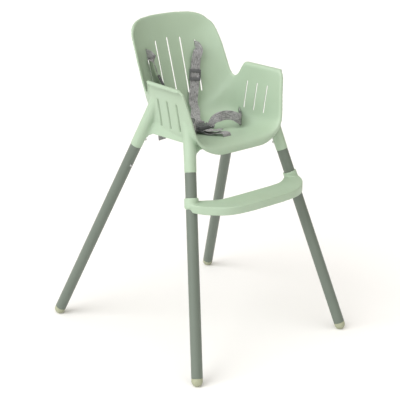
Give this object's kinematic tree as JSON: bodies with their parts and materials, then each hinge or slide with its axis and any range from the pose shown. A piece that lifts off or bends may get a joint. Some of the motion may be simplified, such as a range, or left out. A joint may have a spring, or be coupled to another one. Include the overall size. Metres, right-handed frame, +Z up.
{
  "type": "child's high chair",
  "caption": "Moulded bucket seat with arm rails and slotted back on splayed tube legs, a moulded footrest and a five-point webbing harness",
  "frame": {"origin": "on the floor, at the centre of the footprint", "axes": "+Z up, the chair faces -Y, +X is the seated child's left"},
  "size_m": [0.6126, 0.6459, 0.887],
  "materials": {
    "shell": "satin moulded plastic, sage green",
    "tube": "satin powder coat, grey green",
    "cap": "matt, pale olive",
    "zinc": "zinc plated",
    "webbing": "woven melange webbing, grey",
    "fitting": "satin moulded plastic, dark grey"
  },
  "bodies": {
    "chair": {"seat_shell": "shell", "footrest": "shell", "leg_front_left": "tube", "spigot_front_left": "zinc", "button_spring_front_left": "zinc", "spigot_screw_front_left": "zinc", "foot_cap_front_left": "cap", "leg_front_right": "tube", "spigot_front_right": "zinc", "button_spring_front_right": "zinc", "spigot_screw_front_right": "zinc", "foot_cap_front_right": "cap", "leg_rear_left": "tube", "spigot_rear_left": "zinc", "button_spring_rear_left": "zinc", "spigot_screw_rear_left": "zinc", "foot_cap_rear_left": "cap", "leg_rear_right": "tube", "spigot_rear_right": "zinc", "button_spring_rear_right": "zinc", "spigot_screw_rear_right": "zinc", "foot_cap_rear_right": "cap", "shoulder_strap_left": "webbing", "waist_strap_left": "webbing", "shoulder_stop_left": "fitting", "shoulder_strap_right": "webbing", "waist_strap_right": "webbing", "shoulder_stop_right": "fitting", "crotch_strap": "webbing", "crotch_stop": "fitting", "buckle_base": "fitting", "buckle_cover": "fitting", "buckle_spring": "zinc"},
    "button_front_left": {"leg_button_front_left": "zinc"},
    "button_front_right": {"leg_button_front_right": "zinc"},
    "button_rear_left": {"leg_button_rear_left": "zinc"},
    "button_rear_right": {"leg_button_rear_right": "zinc"},
    "shoulder_adjuster_left": {"shoulder_adjuster_left": "fitting"},
    "waist_adjuster_left": {"waist_adjuster_left": "fitting"},
    "tongue_left": {"tongue_left": "fitting"},
    "shoulder_adjuster_right": {"shoulder_adjuster_right": "fitting"},
    "waist_adjuster_right": {"waist_adjuster_right": "fitting"},
    "tongue_right": {"tongue_right": "fitting"},
    "buckle_release": {"buckle_button": "fitting"}
  },
  "joints": [
    {"name": "press_front_left_button", "type": "slide", "parent": "chair", "child": "button_front_left", "axis": [-0.0541, -0.9617, 0.2689], "range_m": [0, 0.005], "stiffness_N_per_m": 1200, "springref_m": -0.002, "deforming": ["button_spring_front_left"]},
    {"name": "press_front_right_button", "type": "slide", "parent": "chair", "child": "button_front_right", "axis": [0.0541, -0.9617, 0.2689], "range_m": [0, 0.005], "stiffness_N_per_m": 1200, "springref_m": -0.002, "deforming": ["button_spring_front_right"]},
    {"name": "press_rear_left_button", "type": "slide", "parent": "chair", "child": "button_rear_left", "axis": [-0.0827, 0.9178, 0.3885], "range_m": [0, 0.005], "stiffness_N_per_m": 1200, "springref_m": -0.002, "deforming": ["button_spring_rear_left"]},
    {"name": "press_rear_right_button", "type": "slide", "parent": "chair", "child": "button_rear_right", "axis": [0.0827, 0.9178, 0.3885], "range_m": [0, 0.005], "stiffness_N_per_m": 1200, "springref_m": -0.002, "deforming": ["button_spring_rear_right"]},
    {"name": "slide_left_shoulder_adjuster", "type": "slide", "parent": "chair", "child": "shoulder_adjuster_left", "axis": [-0.2341, -0.1938, -0.9527], "range_m": [-0.008, 0.008]},
    {"name": "slide_left_waist_adjuster", "type": "slide", "parent": "chair", "child": "waist_adjuster_left", "axis": [-0.6392, -0.769, 0], "range_m": [0, 0.007]},
    {"name": "pull_left_tongue", "type": "slide", "parent": "chair", "child": "tongue_left", "axis": [1, 0, 0], "range_m": [0, 0.014], "deforming": ["shoulder_strap_left", "waist_strap_left"]},
    {"name": "slide_right_shoulder_adjuster", "type": "slide", "parent": "chair", "child": "shoulder_adjuster_right", "axis": [0.395, -0.1693, -0.9029], "range_m": [-0.008, 0.008]},
    {"name": "slide_right_waist_adjuster", "type": "slide", "parent": "chair", "child": "waist_adjuster_right", "axis": [0.6392, -0.769, 0], "range_m": [0, 0.007]},
    {"name": "pull_right_tongue", "type": "slide", "parent": "chair", "child": "tongue_right", "axis": [-1, 0, 0], "range_m": [0, 0.014], "deforming": ["shoulder_strap_right", "waist_strap_right"]},
    {"name": "press_buckle_button", "type": "slide", "parent": "chair", "child": "buckle_release", "axis": [0, 0, -1], "range_m": [0, 0.003], "stiffness_N_per_m": 1500, "springref_m": -0.002, "deforming": ["buckle_spring"]}
  ]
}
